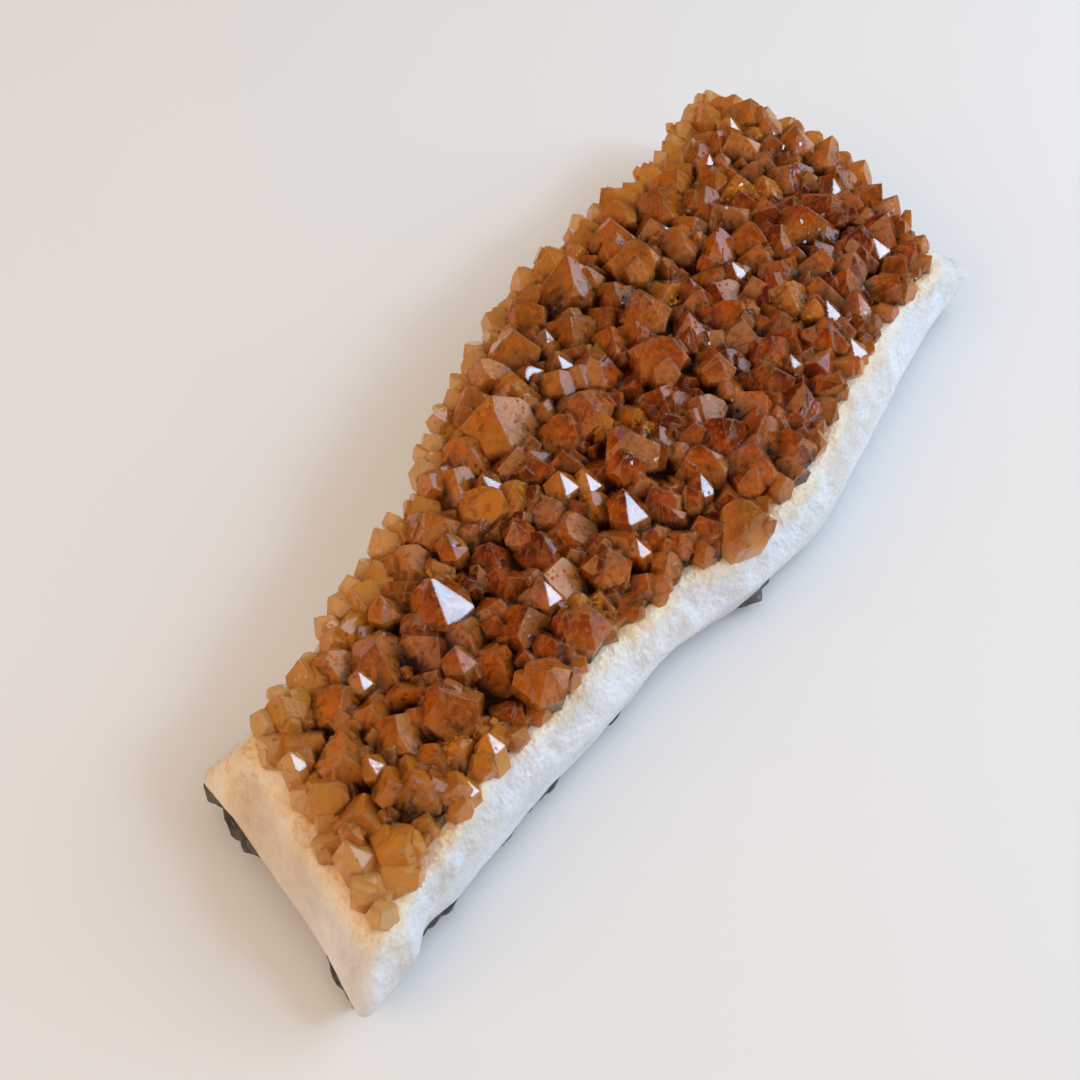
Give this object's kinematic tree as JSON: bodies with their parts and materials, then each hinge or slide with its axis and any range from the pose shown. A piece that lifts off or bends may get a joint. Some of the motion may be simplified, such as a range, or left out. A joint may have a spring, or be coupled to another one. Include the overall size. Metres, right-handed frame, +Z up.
{
  "type": "citrine cluster",
  "caption": "Loose slab of geode wall lying on its back: orange-brown quartz points crowd over a white quartz matrix with a dark host-rock skin below.",
  "frame": {"origin": "centre of the footprint box on the plane that the slab rests on", "axes": "+X along the slab's long side towards its wide end, +Y across it, +Z up through the crystal points"},
  "size_m": [0.1498, 0.0538, 0.0223],
  "materials": {
    "citrine": "clear to hazy orange-brown crystal faces, glossy",
    "milky_quartz": "granular sugary shoulder, smooth waxy wall",
    "basalt": "rough, matte, worn flat below"
  },
  "bodies": {
    "root": {"citrine_druse": "citrine", "quartz_matrix": "milky_quartz", "basalt_rind": "basalt"}
  },
  "joints": []
}
